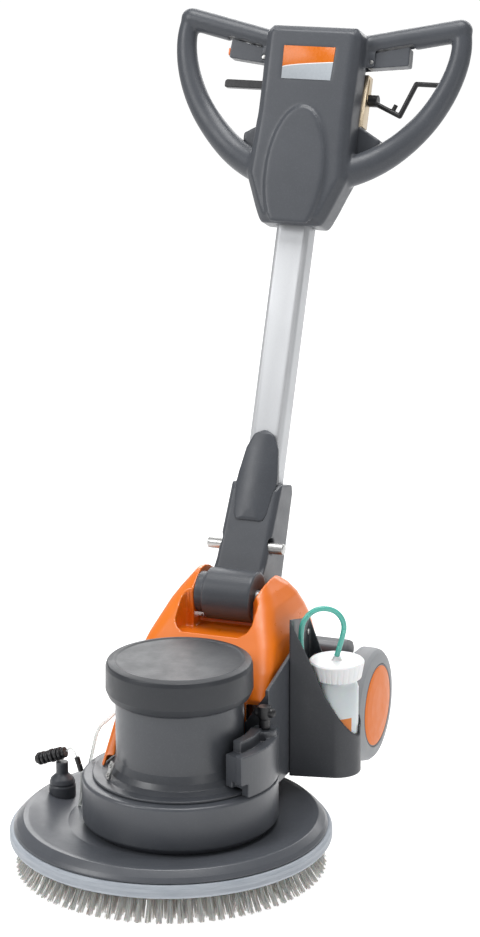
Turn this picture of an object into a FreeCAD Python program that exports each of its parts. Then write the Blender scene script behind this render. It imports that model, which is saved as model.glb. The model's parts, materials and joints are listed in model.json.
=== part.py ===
import FreeCAD, Part
import math
import os

# Rotary floor machine, millimetres, +Z up, front towards -Y.
# Origin: where the brush axis meets the floor. The motor, chassis and handle share a
# mid-plane at x = MID_X, because the gear train sets the motor beside the brush axis.

V = FreeCAD.Vector
X = V(1, 0, 0)
Y = V(0, 1, 0)
Z = V(0, 0, 1)

# ---- driving dimensions -------------------------------------------------------------
MID_X = 14.0                # machine mid-plane
# disc and brush
DECK_R = 208.0
BUMPER_R = 220.0
BUMPER_Z = (38.0, 56.0)
BLOCK_R = 199.0
BRISTLE_TIP_R = 216.0
BRISTLE_H = 30.0
# gear case and motor, on the mid-plane
CASE_R = 133.6
CASE_Z = (62.0, 131.0)
MOTOR_R = 86.9
CAP_R = 99.8
CAP_Z = (241.8, 294.3)
# gear train: motor pinion, layshaft gear, layshaft pinion, output gear
FAST_MODULE = 1.5
FAST_TEETH = (14, 52)
SLOW_MODULE = 2.0
SLOW_TEETH = (18, 42)
BACKLASH = 0.30
RUN_FIT = 0.05              # radial clearance of a shaft in its bore
# handle: pivot, lean and the tube behind the pivot
PIVOT_Y = 187.5
PIVOT_Z = 327.3
LEAN = 21.7
PIVOT_R = 10.0
BARREL_R = 36.0
BARREL_X = (-28.0, 43.0)
TUBE_W = 50.0
TUBE_D = 38.0
TUBE_Y = 87.3
GRIP_R = 16.5
GRIP_T = 98.0
# hood and wheels
HOOD_W = 104.5
WALL = 3.0
CHANNEL = (-42.0, 46.0)
WHEEL_R = 82.0
DISC_R = 60.2
WHEEL_X = (132.0, 167.0)
AXLE_Y = 343.0
AXLE_Z = 131.0
AXLE_R = 10.0
# bottle
BOTTLE_X = 179.0
BOTTLE_Y = 172.0
BOTTLE_Z = 97.0
BOTTLE_R = 30.5
CAP_TOP_Z = 256.0
# flexible lines
HOSE_R = 3.8
TUBE_LINE_R = 2.3
THIN_LINE_R = 1.2


# ---- helpers ------------------------------------------------------------------------
def cyl(r, z0, z1, x=0.0, y=0.0):
    return Part.makeCylinder(r, z1 - z0, V(x, y, z0))


def ring(r_in, r_out, z0, z1, x=0.0, y=0.0):
    return cyl(r_out, z0, z1, x, y).cut(cyl(r_in, z0 - 1, z1 + 1, x, y))


def rod_x(r, x0, x1, y, z):
    return Part.makeCylinder(r, x1 - x0, V(x0, y, z), X)


def box(x0, x1, y0, y1, z0, z1):
    return Part.makeBox(x1 - x0, y1 - y0, z1 - z0, V(x0, y0, z0))


def fuse(first, *others):
    return first.multiFuse(list(others)).removeSplitter()


def revolve(profile, x=0.0, y=0.0):
    """Turn (r, z) points about a vertical axis."""
    pts = [V(r, 0, z) for r, z in profile]
    face = Part.Face(Part.makePolygon(pts + pts[:1]))
    solid = face.revolve(V(0, 0, 0), Z, 360)
    solid.translate(V(x, y, 0))
    return solid


def side_profile(points, x0, x1):
    """Extrude (y, z) points along X."""
    pts = [V(x0, y, z) for y, z in points]
    return Part.Face(Part.makePolygon(pts + pts[:1])).extrude(V(x1 - x0, 0, 0))


def front_profile(points, y0, y1):
    """Extrude (x, z) points along Y."""
    pts = [V(x, y0, z) for x, z in points]
    return Part.Face(Part.makePolygon(pts + pts[:1])).extrude(V(0, y1 - y0, 0))


def rounded_box(x0, x1, y0, y1, z0, z1, r, direction):
    """Box with the four edges along one direction rounded."""
    solid = box(x0, x1, y0, y1, z0, z1)
    return solid.makeFillet(r, edges_along(solid, direction))


def edges_along(solid, direction):
    found = []
    for edge in solid.Edges:
        if edge.Curve.TypeId == "Part::GeomLine":
            if abs(edge.tangentAt(edge.FirstParameter).dot(direction)) > 0.999:
                found.append(edge)
    return found


def at_mid(solid):
    """Move a piece drawn about x = 0 to the machine's mid-plane."""
    moved = solid.copy()
    moved.translate(V(MID_X, 0, 0))
    return moved


def on_handle(solid):
    """Place a piece drawn upright about the pivot: x across, -y front, z up the handle."""
    moved = solid.copy()
    moved.rotate(V(0, 0, 0), X, -LEAN)
    moved.translate(V(MID_X, PIVOT_Y, PIVOT_Z))
    return moved


def cord(name, points, radius):
    """Round line along straight runs joined by tangent arcs."""
    corners = [V(*p) for p in points]
    runs = [corners[i + 1].sub(corners[i]) for i in range(len(corners) - 1)]
    edges = []
    start = corners[0]
    bends = []
    for i in range(1, len(corners) - 1):
        before = V(runs[i - 1]).normalize()
        after = V(runs[i]).normalize()
        turn = math.acos(max(-1.0, min(1.0, before.dot(after))))
        reach = 0.45 * min(runs[i - 1].Length, runs[i].Length)
        bends.append(reach / math.tan(turn / 2))
        a = corners[i].sub(before * reach)
        b = corners[i].add(after * reach)
        inward = after.sub(before).normalize()
        centre_gap = bends[-1] / math.cos(turn / 2) - bends[-1]
        edges.append(Part.makeLine(start, a))
        edges.append(Part.Arc(a, corners[i].add(inward * centre_gap), b).toShape())
        start = b
    edges.append(Part.makeLine(start, corners[-1]))
    spine = Part.Wire(edges)
    section = Part.Wire(Part.makeCircle(radius, corners[0], runs[0]))
    tube = spine.makePipeShell([section], True, True)
    ideal = math.pi * radius ** 2 * spine.Length
    print(name, "bend radii", [round(b, 1) for b in bends], "length", round(spine.Length, 1),
          "volume ratio", round(tube.Volume / ideal, 4))
    return tube


# ---- gears --------------------------------------------------------------------------
def gear(teeth, module, width, bore, z0):
    """Spur gear with involute flanks; one tooth is centred on +X."""
    pitch_r = module * teeth / 2
    base_r = pitch_r * math.cos(math.radians(20))
    tip_r = pitch_r + module
    root_r = pitch_r - 1.25 * module
    half_pitch = (math.pi * module / 2 - BACKLASH) / (2 * pitch_r)
    flank = []
    low_r = max(base_r, root_r)
    for step in range(6):
        r = low_r + (tip_r - low_r) * step / 5
        flank.append((r, half_pitch + involute(pitch_r, base_r) - involute(r, base_r)))
    outline = []
    for n in range(teeth):
        middle = 2 * math.pi * n / teeth
        side = [(root_r, half_pitch + involute(pitch_r, base_r))] + flank
        outline += [polar(r, middle - a) for r, a in side]
        outline += [polar(r, middle + a) for r, a in reversed(side)]
    wire = Part.makePolygon([V(x, y, z0) for x, y in outline + outline[:1]])
    return Part.Face(wire).extrude(V(0, 0, width)).cut(cyl(bore, z0 - 1, z0 + width + 1))


def involute(r, base_r):
    angle = math.acos(min(1.0, base_r / r))
    return math.tan(angle) - angle


def polar(r, angle):
    return r * math.cos(angle), r * math.sin(angle)


def mesh_gear(solid, axis_xy, towards_xy, teeth, gap):
    """Turn a gear so a tooth, or a gap, faces the mating axis."""
    angle = math.degrees(math.atan2(towards_xy[1] - axis_xy[1], towards_xy[0] - axis_xy[0]))
    if gap:
        angle += 180.0 / teeth
    solid.rotate(V(0, 0, 0), Z, angle)
    solid.translate(V(axis_xy[0], axis_xy[1], 0))
    return solid


BRUSH_XY = (0.0, 0.0)
MOTOR_XY = (MID_X, 0.0)
FAST_GAP = FAST_MODULE * sum(FAST_TEETH) / 2
SLOW_GAP = SLOW_MODULE * sum(SLOW_TEETH) / 2
LAY_X = (SLOW_GAP ** 2 - FAST_GAP ** 2 + MID_X ** 2) / (2 * MID_X)
LAY_XY = (LAY_X, math.sqrt(SLOW_GAP ** 2 - LAY_X ** 2))


# ---- disc, brush and drive ----------------------------------------------------------
def brush_housing():
    shell = revolve([(30, 58), (126, 58), (192, 66), (203, 56), (203, 40), (208, 40), (208, 57),
                     (214, 57), (214, 59), (210, 64), (201, 72), (194, 71.5), (140, 62), (30, 62)])
    return shell


def bumper_ring():
    low, high = BUMPER_Z
    return revolve([(DECK_R, low), (BUMPER_R - 3, low), (BUMPER_R, low + 4), (BUMPER_R, high - 4),
                    (BUMPER_R - 3, high), (DECK_R, high)])


def brush_block():
    return ring(66, BLOCK_R, BRISTLE_H, 42)


def bristles():
    return revolve([(92, 0), (BRISTLE_TIP_R, 0), (BLOCK_R, BRISTLE_H), (92, BRISTLE_H)])


def drive_hub():
    hub = revolve([(12, 34), (66, 34), (66, 42), (40, 46), (28, 54), (12, 54)])
    return hub


def drive_shaft():
    return fuse(cyl(12, 34, 70), cyl(14, 70, 92))


def output_gear():
    wheel = gear(SLOW_TEETH[1], SLOW_MODULE, 14, 14, 75)
    return mesh_gear(wheel, BRUSH_XY, LAY_XY, SLOW_TEETH[1], False)


def layshaft_pinion():
    pinion = gear(SLOW_TEETH[0], SLOW_MODULE, 18, 8, 73)
    return mesh_gear(pinion, LAY_XY, BRUSH_XY, SLOW_TEETH[0], True)


def layshaft_gear():
    wheel = gear(FAST_TEETH[1], FAST_MODULE, 12, 8, 98)
    return mesh_gear(wheel, LAY_XY, MOTOR_XY, FAST_TEETH[1], False)


def motor_pinion():
    pinion = gear(FAST_TEETH[0], FAST_MODULE, 16, 6, 96)
    return mesh_gear(pinion, MOTOR_XY, LAY_XY, FAST_TEETH[0], True)


def layshaft():
    return cyl(8, 67, 124, *LAY_XY)


def gear_case():
    low, high = CASE_Z
    shell = revolve([(0, low), (124, low), (CASE_R, low + 10), (CASE_R, high - 3),
                     (CASE_R - 3, high), (0, high)], MID_X)
    shell = shell.cut(cyl(129, low + 10, high - 5, MID_X)).cut(cyl(120, low + 5, low + 11, MID_X))
    boss_out = cyl(26, low, low + 9)
    boss_low = cyl(20, low, low + 9, *LAY_XY)
    boss_high = cyl(20, high - 14, high, *LAY_XY)
    shell = fuse(shell, boss_out, boss_low, boss_high)
    shell = shell.cut(cyl(22, low - 1, low + 9.5))
    shell = shell.cut(cyl(16, low + 2.5, low + 9.5, *LAY_XY))
    shell = shell.cut(cyl(16, high - 14.5, high - 3, *LAY_XY))
    return shell.cut(cyl(24, high - 6, high + 1, MID_X))


def gearbox_bearings():
    low, high = CASE_Z
    output = ring(12 + RUN_FIT, 22, low + 0.5, low + 7.5)
    lower = ring(8 + RUN_FIT, 16, low + 2.5, low + 8.5, *LAY_XY)
    upper = ring(8 + RUN_FIT, 16, high - 13, high - 4, *LAY_XY)
    return Part.makeCompound([output, lower, upper])


# ---- motor --------------------------------------------------------------------------
def motor_housing():
    low = CASE_Z[1]
    top = CAP_Z[0]
    body = revolve([(0, low), (119, low), (119, low + 4), (106, low + 5), (96, low + 9), (90, low + 16),
                    (MOTOR_R, low + 27), (MOTOR_R, top), (0, top)], MID_X)
    body = body.cut(cyl(82, low + 14, top - 18, MID_X))
    body = body.cut(cyl(22, low - 1, low + 12, MID_X))
    body = body.cut(cyl(12, low + 11, low + 15, MID_X))
    return body.cut(cyl(19, top - 19, top - 5, MID_X))


def foot_room():
    """Clearance around the flange at the bottom of the motor, about x = 0."""
    low = CASE_Z[1]
    return revolve([(0, low - 1), (119.6, low - 1), (119.6, low + 4.6), (106.6, low + 5.6),
                    (96.6, low + 9.6), (91, low + 16.6), (0, low + 16.6)])


def rotor_bearings():
    low = ring(8 + RUN_FIT, 22, CASE_Z[1] + 1, CASE_Z[1] + 12, MID_X)
    high = ring(8 + RUN_FIT, 19, CAP_Z[0] - 17, CAP_Z[0] - 6, MID_X)
    return Part.makeCompound([low, high])


def motor_cap():
    """Hollow cover over the end of the motor."""
    low, high = CAP_Z
    inner = CAP_R - 13
    cap = revolve([(0, low), (MOTOR_R, low), (MOTOR_R, low - 1), (CAP_R - 4, low + 3), (CAP_R, low + 13),
                   (CAP_R - 0.5, high - 6), (CAP_R - 3, high - 2), (inner, high),
                   (inner - 3, high - 1.5), (0, high - 1.5)], MID_X)
    return cap.cut(cyl(MOTOR_R - 4, low - 1, high - 6, MID_X))


def stator():
    return ring(56, 82, 166, 216, MID_X)


def rotor_shaft():
    upper = cyl(8, 116, CAP_Z[0] - 7, MID_X)
    return fuse(cyl(6, 95, 117, MID_X), upper)


def rotor_core():
    return ring(8, 55.4, 168, 214, MID_X)


def cooling_fan():
    hub = ring(8, 20, 148, 162, MID_X)
    plate = ring(8, 68, 148, 150.5, MID_X)
    blades = []
    for n in range(9):
        blade = box(MID_X + 18, MID_X + 66, -1.2, 1.2, 149, 161)
        blade.rotate(V(MID_X, 0, 0), Z, 40.0 * n)
        blades.append(blade)
    return fuse(hub, plate, *blades)


# ---- chassis and hood ---------------------------------------------------------------
def frame_plate(x0, x1):
    plate = side_profile([(127, 79), (205, 84), (330, 108), (352, 112), (364, 124), (364, 140),
                          (352, 152), (300, 168), (250, 200), (218, 240), (208, 328), (200, 338),
                          (188, 338), (180, 326), (171, 312), (171, 279), (151, 279), (135, 262),
                          (118, 220), (114, 140), (127, 132)], x0, x1)
    bore = rod_x(PIVOT_R, x0 - 1, x1 + 1, PIVOT_Y, PIVOT_Z)
    return plate.cut(bore)


def chassis_frame():
    plates = [frame_plate(56, 61.5), frame_plate(-51.5, -46)]
    tube = rod_x(17, -126, 126, AXLE_Y, AXLE_Z)
    tie = box(-47, 57, 206, 214, 96, 190)
    body = fuse(tube, tie, *plates)
    return at_mid(body.cut(rod_x(AXLE_R, -130, 130, AXLE_Y, AXLE_Z)))


HOOD_SECTIONS = [
    # z, front half-width, front y, rear half-width, rear y, front and rear corner radii
    (CASE_Z[1] + 0.4, 104.5, -38, 104.5, 170, 6, 6), (175, 104.5, 4, 104.5, 240, 8, 10),
    (215, 104, 41, 104.5, 275, 10, 14), (255, 100, 78, 102, 282, 16, 20),
    (283, 93, 105, 97, 281, 22, 25), (303, 84, 124, 91, 277, 25, 28),
    (322, 75, 143, 84, 269, 27, 30), (337, 64.5, 158, 75, 257, 25, 28),
    (347, 56, 169, 66, 243, 22, 25), (355.5, 50, 180, 57, 227, 16, 18), (360, 46, 190, 50, 211, 8, 8)]


def plan_section(z, front_w, front_y, rear_w, rear_y, front_r, rear_r):
    """Horizontal outline with four rounded corners."""
    corners = [(-front_w, front_y, front_r), (front_w, front_y, front_r),
               (rear_w, rear_y, rear_r), (-rear_w, rear_y, rear_r)]
    edges = []
    ends = []
    for n in range(4):
        here = V(corners[n][0], corners[n][1], z)
        before = V(corners[n - 1][0], corners[n - 1][1], z).sub(here).normalize()
        after = V(corners[(n + 1) % 4][0], corners[(n + 1) % 4][1], z).sub(here).normalize()
        half = math.acos(before.dot(after)) / 2
        reach = corners[n][2] / math.tan(half)
        bisector = before.add(after).normalize()
        middle = here.add(bisector * (corners[n][2] / math.sin(half) - corners[n][2]))
        ends.append((here.add(before * reach), middle, here.add(after * reach)))
    for n in range(4):
        edges.append(Part.Arc(*ends[n]).toShape())
        edges.append(Part.makeLine(ends[n][2], ends[(n + 1) % 4][0]))
    return Part.Wire(edges)


def hood_loft(inset):
    """Body ruled between the hood's plan sections, shrunk by the inset."""
    wires = []
    for z, fw, fy, rw, ry, fr, rr in HOOD_SECTIONS:
        shrink = max(1.0, min(fr, rr) - inset)
        corner = (shrink, max(1.0, rr - inset)) if inset else (fr, rr)
        wires.append(plan_section(z - 1.3 * inset, fw - inset, fy + 1.3 * inset, rw - inset,
                                  ry - inset, *corner))
    return Part.makeLoft(wires, True, True)


def hood():
    body = hood_loft(0)
    inner = hood_loft(WALL)
    low = CASE_Z[1]
    left, right = CHANNEL
    ear_bevel = front_profile([(right - 1, 328), (right, 328), (60, 360), (60, 400), (right - 1, 400)],
                              100, 280)
    bevel_wall = front_profile([(right - 1, 323), (right + WALL, 325), (63, 358), (63, 400),
                                (right - 1, 400)], 99, 281)
    tray_wall = rounded_box(-59, 59, 112, 168, 281, 400, 20, Z)
    keep_out = [cyl(CAP_R + 1.7 + WALL, 230, 400), cyl(MOTOR_R + 3.1 + WALL, 100, 231), tray_wall,
                box(left - WALL, right + WALL, 150, 193, 281, 400), bevel_wall,
                box(left - WALL, right + WALL, 192.9, 330, 202, 400)]
    for solid in keep_out:
        inner = inner.cut(solid)
    channel = box(left, right, 196, 330, 205, 400)
    tray = rounded_box(-56, 56, 115, 165, 284, 400, 17, Z)
    tray = tray.cut(box(-60, left, 160, 170, 280, 400)).cut(box(right, 60, 160, 170, 280, 400))
    seat = box(left, right, PIVOT_Y - 42, 186, 284, 400)
    above_lip = box(left, right, 185, 197, 290.5, 400)
    barrel_room = rod_x(BARREL_R + 1.3, left, right, PIVOT_Y, PIVOT_Z)
    arm_room = box(75.5, 130, -60, 52.5, low - 1, 252)
    cuts = [inner, foot_room(), cyl(CAP_R + 1.7, 237, 400), cyl(MOTOR_R + 3.1, 100, 238), channel, tray,
            seat, above_lip, barrel_room, ear_bevel, rod_x(PIVOT_R, -64, 64, PIVOT_Y, PIVOT_Z),
            box(-99, -80, -60, 8, low - 5, low + 19), arm_room]
    for solid in cuts:
        body = body.cut(solid)
    return at_mid(max(body.Solids, key=lambda s: s.Volume))


def fender():
    shape = side_profile([(300, 206), (360, 197), (368, 200), (368, 207), (362, 217), (345, 225),
                          (318, 229), (304, 227), (300, 222)], -126, 126)
    shape = shape.makeFillet(4, edges_along(shape, X)[4:8])
    legs = [box(x, x + 8, 334, 352, 148, 214) for x in (-116, 108)]
    return at_mid(fuse(shape, *legs))


def axle():
    return at_mid(rod_x(AXLE_R, -160, 160, AXLE_Y, AXLE_Z))


def pivot_pin():
    return at_mid(rod_x(PIVOT_R, -63, 63, PIVOT_Y, PIVOT_Z))


def sector(r_in, r_out, from_deg, to_deg, z0, z1):
    """Part of a ring about the motor, angles from the front towards the right."""
    solid = Part.makeCylinder(r_out, z1 - z0, V(0, 0, z0), Z, to_deg - from_deg)
    core = Part.makeCylinder(r_in, z1 - z0 + 2, V(0, 0, z0 - 1))
    solid = solid.cut(core)
    solid.rotate(V(0, 0, 0), Z, from_deg - 90)
    return solid


def clamp_bracket():
    """Cast bracket on the gear case, with the side arm that runs back past the hood."""
    block = sector(121, 134, 59, 118, CASE_Z[1] + 0.3, 191)
    lug = fuse(sector(97, 122, 60, 112, CASE_Z[1] + 10, 186), sector(97, 112, 68, 100, 180, 202))
    boss = cyl(17, 160, 199, 112, 27)
    arm = side_profile([(84, 98), (235, 98), (235, 250), (205, 285), (131, 266), (46, 246), (46, 131.3),
                        (84, 131.3)], 105.5, 111)
    front = front_profile([(76, 160), (76, 196), (111, 246), (111, 160)], 46, 51)
    body = fuse(block, lug, boss, arm, front)
    body = body.cut(sector(110, 150, 50, 64, 120, 151)).cut(foot_room())
    body = body.cut(cyl(5, 150, 200, 112, 27))
    return at_mid(body)


def clamp_knob():
    """Screw with a two-armed head."""
    stem = fuse(cyl(5 - RUN_FIT, 165, 200, 0, 0), cyl(7.5, 199.5, 215, 0, 0))
    head = cyl(9, 214, 231, 0, 0)
    arms = rod_x(6.5, -9.5, 9.5, 0, 222)
    ends = [Part.makeSphere(6.5, V(x, 0, 222)) for x in (-9.5, 9.5)]
    knob = fuse(stem, head, arms, *ends)
    knob.translate(V(112, 27, 0))
    return at_mid(knob)


def riveted_tab():
    """Small metal tab with two rivet heads, beside the foot of the motor."""
    tab = box(-4.5, 4.5, -1.5, 1.5, 0, 24)
    heads = [Part.makeCylinder(2.6, 2.5, V(0, -1, height), V(0, -1, 0)) for height in (5.0, 18.0)]
    tab = fuse(tab, *heads)
    tab.rotate(V(0, 0, 0), X, -18)
    tab.rotate(V(0, 0, 0), Z, -46.5)
    tab.translate(V(-76, -72, CASE_Z[1] + 6.5))
    return at_mid(tab)


# ---- solution inlet and clear lines -------------------------------------------------
INLET = (-170.0, 20.0, 66.0)


def inlet_neck():
    x, y, z = INLET
    neck = revolve([(0, z - 4), (18.5, z - 4), (18.5, z + 15), (16.5, z + 17), (18, z + 19), (16, z + 25),
                    (8.5, z + 32), (8.5, z + 49), (0, z + 49)], x, y)
    return max(neck.cut(brush_housing()).Solids, key=lambda s: s.Volume)


def spray_plug():
    """Ribbed plug that lies across the top of the neck."""
    discs = [cyl(6, 0, 47, 0, 0)]
    for z, r in ((0, 7.5), (6, 9), (12, 9), (19, 9.5), (26, 8.5), (33, 9), (39, 9)):
        discs.append(cyl(r, z, z + 4))
    plug = fuse(*discs)
    plug.rotate(V(0, 0, 0), Y, -111)
    plug.translate(V(-164.5, 20, 129.5))
    return plug


def inline_valve():
    a = V(-141, 5, 130.6)
    b = V(-133.9, 3, 111.7)
    along = b.sub(a)
    half = along.Length / 2 - 0.5
    upper = Part.makeCylinder(3.8, half, a, along)
    lower = Part.makeCylinder(3.8, half, b, along * -1)
    return fuse(upper, lower, Part.makeCylinder(3.0, along.Length, a, along))


SPRAY_TUBE = [(-93, 98, 198), (-108.1, 46, 176.1), (-116.8, 24, 170.9), (-121.3, 14, 137.3),
              (-127.4, 4, 97.5), (-134.8, -2, 62.7)]
NOZZLE_TUBE = [(-163, 20, 131), (-156.2, 15, 139.7), (-146.4, 9, 138), (-141.1, 5, 130.9)]
DROP_TUBE = [(-133.8, 3, 111.4), (-133.1, 3, 94.2), (-136.6, 2.4, 62.7)]


# ---- bottle, holder and hose --------------------------------------------------------
HOLDER_X = 125.5            # its flat wall, against the side arm
HOLDER_Z = 94.0
HOLDER_R = BOTTLE_R + 4.0
HOLDER_FRONT_Y = 126.0
HOLDER_REAR_Y = BOTTLE_Y + HOLDER_R
SOCKET = (140.0, 152.0)


def holder_shape(inset, z0, z1):
    """Flat wall on the left, a half-round around the bottle on the right."""
    r = HOLDER_R - inset
    swing = math.radians(-78)
    front_left = V(HOLDER_X + inset, HOLDER_FRONT_Y + inset, z0)
    tangent = V(BOTTLE_X + r * math.cos(swing), BOTTLE_Y + r * math.sin(swing), z0)
    rear = V(BOTTLE_X, BOTTLE_Y + r, z0)
    rear_left = V(HOLDER_X + inset, BOTTLE_Y + r, z0)
    wire = Part.Wire([Part.makeLine(front_left, tangent),
                      Part.Arc(tangent, V(BOTTLE_X + r, BOTTLE_Y, z0), rear).toShape(),
                      Part.makeLine(rear, rear_left), Part.makeLine(rear_left, front_left)])
    return Part.Face(wire).extrude(V(0, 0, z1 - z0))


def bottle_holder():
    """Thin-walled pocket, open on top, its mouth cut down towards the outside."""
    wall = 2.5
    shell = holder_shape(0, HOLDER_Z, 322).cut(holder_shape(wall, HOLDER_Z + wall, 330))
    x0 = HOLDER_X + wall
    front_cut = [(x0, 330), (x0, 317), (152, 266), (175, 211), (213, 150), (240, 138), (240, 330)]
    back_cut = [(x0, 330), (x0, 300), (146, 254), (164, 227), (186, 207), (213, 160), (240, 150), (240, 330)]
    shell = shell.cut(front_profile(front_cut, 110, BOTTLE_Y))
    shell = shell.cut(front_profile(back_cut, BOTTLE_Y - 0.1, 230))
    shell = shell.cut(side_profile([(120, 323.6), (215, 298.3), (215, 340), (120, 340)], 120, 240))
    socket = ring(5.2, 8, HOLDER_Z + 1, 150, *SOCKET)
    return fuse(max(shell.Solids, key=lambda s: s.Volume), socket)


def holder_screws():
    x = HOLDER_X + 2.5
    places = [(x, y, z) for y in (140, 196) for z in (180, 283)]
    return Part.makeCompound([Part.makeCylinder(4, 2, V(*p), X) for p in places])


def bottle():
    x, y, z = BOTTLE_X, BOTTLE_Y, BOTTLE_Z
    outer = revolve([(0, z), (BOTTLE_R - 1.5, z), (BOTTLE_R, z + 1.5), (BOTTLE_R, z + 120),
                     (BOTTLE_R - 4, z + 132), (BOTTLE_R - 4, z + 154), (0, z + 154)], x, y)
    inner = revolve([(0, z + 2), (BOTTLE_R - 2, z + 2), (BOTTLE_R - 2, z + 119),
                     (BOTTLE_R - 6, z + 131), (BOTTLE_R - 6, z + 155), (0, z + 155)], x, y)
    return outer.cut(inner)


def bottle_cap():
    top = CAP_TOP_Z
    x, y = BOTTLE_X, BOTTLE_Y
    inner = BOTTLE_R - 3.5
    skirt = revolve([(inner, top - 25), (33.5, top - 25), (34.5, top - 24), (38.5, top - 2),
                     (36.5, top), (0, top), (0, top - 4), (inner, top - 4)], x, y)
    barb = cyl(5.5, top - 0.5, top + 5, x, y)
    bore = cyl(3, top - 20, top + 10, x, y)
    nipple = cyl(4.5, top - 12, top - 3, x, y)
    return fuse(skirt, barb, nipple).cut(bore)


def dip_tube():
    return ring(1.8, 3, BOTTLE_Z + 8, CAP_TOP_Z - 1, BOTTLE_X, BOTTLE_Y)


HOSE = [(179, 172, 261.2), (184.9, 175, 283.5), (189.4, 177.3, 308), (176.9, 170.9, 328.5),
        (153.4, 158.8, 332), (136, 149.9, 314), (134.2, 149, 286), (136.5, 150.6, 257),
        (139.2, 151.8, 227.5), (140, 152, 198)]


def hose_plug():
    return fuse(cyl(4.8, 110, 151, *SOCKET), cyl(7.5, 150.5, 158, *SOCKET), cyl(5.5, 157, 197, *SOCKET))


# ---- wheels -------------------------------------------------------------------------
def wheel(side):
    """Moulded wheel with its tyre; side is +1 for the right."""
    x0, x1 = WHEEL_X
    r = WHEEL_R
    rim = DISC_R + 0.4
    body = revolve([(14, x0), (rim, x0), (r - 8, x0), (r, x0 + 8), (r, x1 - 10), (r - 1.5, x1 - 4),
                    (r - 6, x1 + 0.5), (rim + 2, x1 + 3), (rim, x1 + 3), (rim, x1 - 1), (14, x1 - 1)])
    body = body.cut(cyl(AXLE_R + RUN_FIT, x0 - 1, x1 + 1))
    body = fuse(body, ring(AXLE_R + RUN_FIT, 20, x0, x1 - 3.5))
    return wheel_place(body, side)


def hub_disc(side):
    x1 = WHEEL_X[1]
    disc = revolve([(0, x1 - 0.8), (DISC_R, x1 - 0.8), (DISC_R, x1 + 2.5), (50, x1 + 4.2), (34, x1 + 5.6),
                    (16, x1 + 6), (0, x1 + 6)])
    return wheel_place(disc, side)


def wheel_place(solid, side):
    solid.rotate(V(0, 0, 0), Y, 90 * side)
    solid.translate(V(MID_X, AXLE_Y, AXLE_Z))
    return solid


# ---- handle: drawn upright about the pivot ------------------------------------------
def joint_casting():
    barrel = rod_x(BARREL_R, *BARREL_X, 0, 0)
    block = side_profile([(22, 26), (28, 37), (53, 154), (60, 164), (104, 170), (111, 160), (111, 30),
                          (98, 12), (34, -8), (20, 0)], -37.5, 37.5)
    block = block.makeChamfer(5, [e for e in edges_along(block, V(0, 25, 117).normalize())])
    thrust_boss = rod_x(BARREL_R - 7, CHANNEL[0] + 0.3, BARREL_X[0], 0, 0)
    body = fuse(block, barrel, thrust_boss)
    pocket = box(-TUBE_W / 2, TUBE_W / 2, TUBE_Y - TUBE_D / 2, TUBE_Y + TUBE_D / 2, 60, 180)
    pocket = pocket.makeFillet(8, edges_along(pocket, Z))
    slot = rounded_box(-40, 40, 39.6, 56.4, 64.4, 87.6, 8.3, X)
    body = body.cut(pocket).cut(slot)
    body = body.cut(box(-12, 12, 42, 90, 64, 98))
    return on_handle(body.cut(rod_x(PIVOT_R + RUN_FIT, -50, 50, 0, 0)))


def tongue_cover():
    """Raised cover that runs from the casting up the front of the tube."""
    lower = side_profile([(44.5, 104), (40.5, 112), (44, 150), (54, 205), (60.5, 236), (67.5, 242),
                          (68.2, 242), (68.2, 166), (61, 166), (53.4, 155.5)], -32, 32)
    half = [(11, 104.5), (20.5, 110), (27.5, 120), (31, 135), (31.5, 152), (29.5, 176), (24, 214), (15, 234)]
    outline = half + [(0, 243)] + [(-x, z) for x, z in reversed(half)]
    rise = 0.169
    dome = Part.makeCylinder(73, 200, V(0, 113.5 - 32 * rise, 80), V(0, rise, 1))
    shape = on_handle(lower.common(front_profile(outline, 20, 90)).common(dome))
    return max(shape.cut(joint_casting()).Solids, key=lambda s: s.Volume)


def handle_tube():
    outer = rounded_box(-TUBE_W / 2, TUBE_W / 2, TUBE_Y - TUBE_D / 2, TUBE_Y + TUBE_D / 2, 61, 700, 8, Z)
    inner = rounded_box(-TUBE_W / 2 + 2.5, TUBE_W / 2 - 2.5, TUBE_Y - TUBE_D / 2 + 2.5,
                        TUBE_Y + TUBE_D / 2 - 2.5, 60, 701, 5.5, Z)
    slot = box(-12, 12, 60, TUBE_Y, 60, 98)
    return on_handle(outer.cut(inner).cut(slot))


def head_outline():
    half = [(45, 538), (50, 545), (57, 560), (70, 592), (76, 606), (74, 640), (71, 700), (72, 790),
            (72, 818), (64, 828)]
    return half + [(-x, z) for x, z in reversed(half)]


def loop_route():
    return [(206, 840), (209.5, 818), (208, 792), (200, 762), (186, 730), (166, 699), (140, 670),
            (112, 646), (84, 629), (58, 618)]


def loop_arc(side):
    """Curved side of one grip loop; towards the head it widens and comes forward."""
    route = [V(side * x, GRIP_T - forward, z) for (x, z), forward in
             zip(loop_route(), (0, 0, 0, 0, 0, 0, 2, 7, 14, 21))]
    curve = Part.BSplineCurve()
    curve.interpolate(route)
    wires = []
    for n in range(9):
        t = curve.FirstParameter + (curve.LastParameter - curve.FirstParameter) * n / 8
        place = curve.value(t)
        along = V(*curve.tangent(t)[0]).normalize()
        half_w = 14.0 + 8.5 * n / 8
        depth = 13.8 + 2.1 * max(0, n - 4)
        across = Y.cross(along).normalize()
        ellipse = Part.Ellipse(V(0, 0, 0), half_w, min(half_w, depth))
        wire = Part.Wire(ellipse.toShape())
        matrix = FreeCAD.Matrix(across.x, 0, along.x, place.x, across.y, 1, along.y, place.y,
                                across.z, 0, along.z, place.z, 0, 0, 0, 1)
        wires.append(wire.transformGeometry(matrix))
    return Part.makeLoft(wires, True, False)


def trigger_slot(side):
    """Groove in the underside of a grip bar that the trigger is squeezed into."""
    slot = front_profile([(73, 770), (141, 770), (141, 818), (73, 803.5)], 87.5, 108.5)
    return slot if side > 0 else slot.mirror(V(0, 0, 0), X)


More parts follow.
